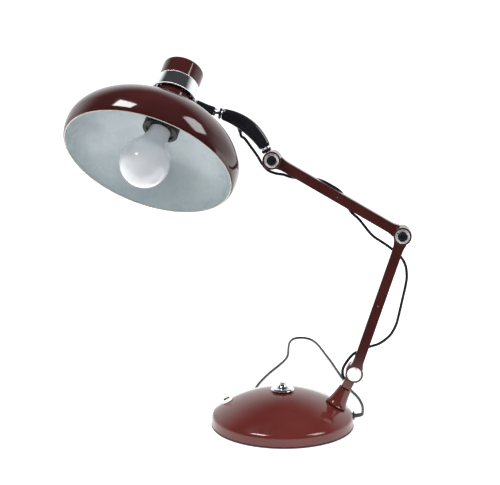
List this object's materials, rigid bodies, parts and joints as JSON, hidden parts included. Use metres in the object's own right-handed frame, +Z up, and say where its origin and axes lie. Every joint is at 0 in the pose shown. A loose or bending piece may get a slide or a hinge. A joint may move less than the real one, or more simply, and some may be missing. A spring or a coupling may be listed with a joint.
{
  "type": "architect desk lamp",
  "caption": "Jointed desk lamp: weighted domed base, leaning pedestal, channel arms on ring joints, curved handle and a saucer shade with an opal bulb.",
  "frame": {"origin": "middle of the base's underside, on the table", "axes": "+Z up; +X from the middle of the base towards the pedestal, with the switch on the -X side; the arms lie in planes of constant Y and the front is towards -Y"},
  "size_m": [0.4096, 0.5904, 0.463],
  "materials": {
    "oxblood_paint": "gloss oxblood enamel",
    "chrome": "polished plate",
    "zinc_steel": "zinc plated",
    "cast_iron": "as cast",
    "brass": "bright",
    "black_gloss_plastic": "gloss black",
    "black_bakelite": "satin black phenolic",
    "black_rubber": "matt black",
    "black_pvc": "satin black sheath",
    "felt": "black felt",
    "opal_glass": "opal white",
    "white_plastic": "white",
    "red_fibre": "vulcanised fibre"
  },
  "bodies": {
    "base": {"base_shell": "oxblood_paint", "edge_trim": "black_rubber", "felt_pad": "felt", "bottom_plate": "zinc_steel", "ballast": "cast_iron", "tie_bolt": "zinc_steel", "finial": "chrome", "switch_body": "black_bakelite", "switch_nut": "chrome", "pedestal": "oxblood_paint", "swivel_screw": "zinc_steel", "strain_relief": "black_rubber", "mains_cord": "black_pvc", "mains_hank": "black_pvc", "hank_tie": "black_rubber", "mains_tail": "black_pvc", "plug_body": "black_rubber", "plug_pin_left": "brass", "plug_pin_right": "brass"},
    "switch_lever": {"toggle_lever": "white_plastic"},
    "yoke": {"yoke": "oxblood_paint", "shoulder_axle": "zinc_steel", "shoulder_washer": "red_fibre", "flex_shoulder_loop": "black_pvc"},
    "lower_arm": {"lower_arm": "oxblood_paint", "lower_arm_clip": "zinc_steel", "shoulder_disc": "chrome", "flex_lower_run": "black_pvc", "flex_elbow_loop": "black_pvc"},
    "upper_arm": {"upper_arm": "oxblood_paint", "upper_arm_clip": "zinc_steel", "elbow_axle": "zinc_steel", "elbow_disc": "chrome", "elbow_washer": "red_fibre", "wrist_axle": "zinc_steel", "wrist_washer": "red_fibre", "flex_upper_run": "black_pvc", "flex_wrist_loop": "black_pvc"},
    "elbow_knob": {"elbow_knob": "black_gloss_plastic"},
    "wrist_knob": {"wrist_knob": "black_gloss_plastic"},
    "handle": {"handle_bracket": "oxblood_paint", "handle_block": "black_gloss_plastic", "handle_lower_ring": "chrome", "grip": "black_gloss_plastic", "handle_upper_ring": "chrome", "flex_nub": "black_rubber", "wrist_disc": "chrome"},
    "ball_stud": {"swivel_collar": "black_gloss_plastic", "ball_stud": "chrome"},
    "ferrule": {"ferrule": "chrome"},
    "head": {"shade": "oxblood_paint", "head_collar": "chrome", "head_cap": "oxblood_paint", "lampholder": "black_bakelite", "lampholder_skirt": "black_bakelite", "lamp_nipple": "brass", "collar_nut": "zinc_steel", "bulb_glass": "opal_glass", "bulb_cap": "brass", "stem": "black_gloss_plastic"}
  },
  "joints": [
    {"name": "yoke_swivel", "type": "hinge", "parent": "base", "child": "yoke", "pos_m": [0.068, 0, 0.0286], "axis": [0.4564, 0, 0.8898], "range_deg": [-60, 60]},
    {"name": "shoulder", "type": "hinge", "parent": "yoke", "child": "lower_arm", "pos_m": [0.0904, 0, 0.0722], "axis": [0, 1, 0], "range_deg": [-20, 40], "deforming": ["flex_shoulder_loop"]},
    {"name": "elbow", "type": "hinge", "parent": "lower_arm", "child": "upper_arm", "pos_m": [0.146, 0, 0.2476], "axis": [0, 1, 0], "range_deg": [-12, 60], "deforming": ["flex_elbow_loop"]},
    {"name": "wrist", "type": "hinge", "parent": "upper_arm", "child": "handle", "pos_m": [-0.0141, 0, 0.3382], "axis": [0, 1, 0], "range_deg": [-25, 60], "deforming": ["flex_wrist_loop"]},
    {"name": "handle_swivel", "type": "hinge", "parent": "handle", "child": "ball_stud", "pos_m": [-0.0852, -0.0065, 0.3962], "axis": [-0.9752, 0, 0.2215], "range_deg": [-60, 60]},
    {"name": "head_tilt", "type": "hinge", "parent": "ball_stud", "child": "ferrule", "pos_m": [-0.0852, -0.0065, 0.3962], "axis": [-0.163, -0.6771, -0.7176], "range_deg": [-5, 50]},
    {"name": "head_roll", "type": "hinge", "parent": "ferrule", "child": "head", "pos_m": [-0.0852, -0.0065, 0.3962], "axis": [0.8282, 0.3014, -0.4726], "range_deg": [-60, 60]},
    {"name": "switch_toggle", "type": "hinge", "parent": "base", "child": "switch_lever", "pos_m": [-0.0714, 0, 0.0302], "axis": [0, 1, 0], "range_deg": [-17, 0]},
    {"name": "elbow_knob_turn", "type": "hinge", "parent": "upper_arm", "child": "elbow_knob", "pos_m": [0.146, 0, 0.2476], "axis": [0, 1, 0], "range_deg": [-90, 90]},
    {"name": "wrist_knob_turn", "type": "hinge", "parent": "upper_arm", "child": "wrist_knob", "pos_m": [-0.0141, 0, 0.3382], "axis": [0, 1, 0], "range_deg": [-90, 90]}
  ]
}
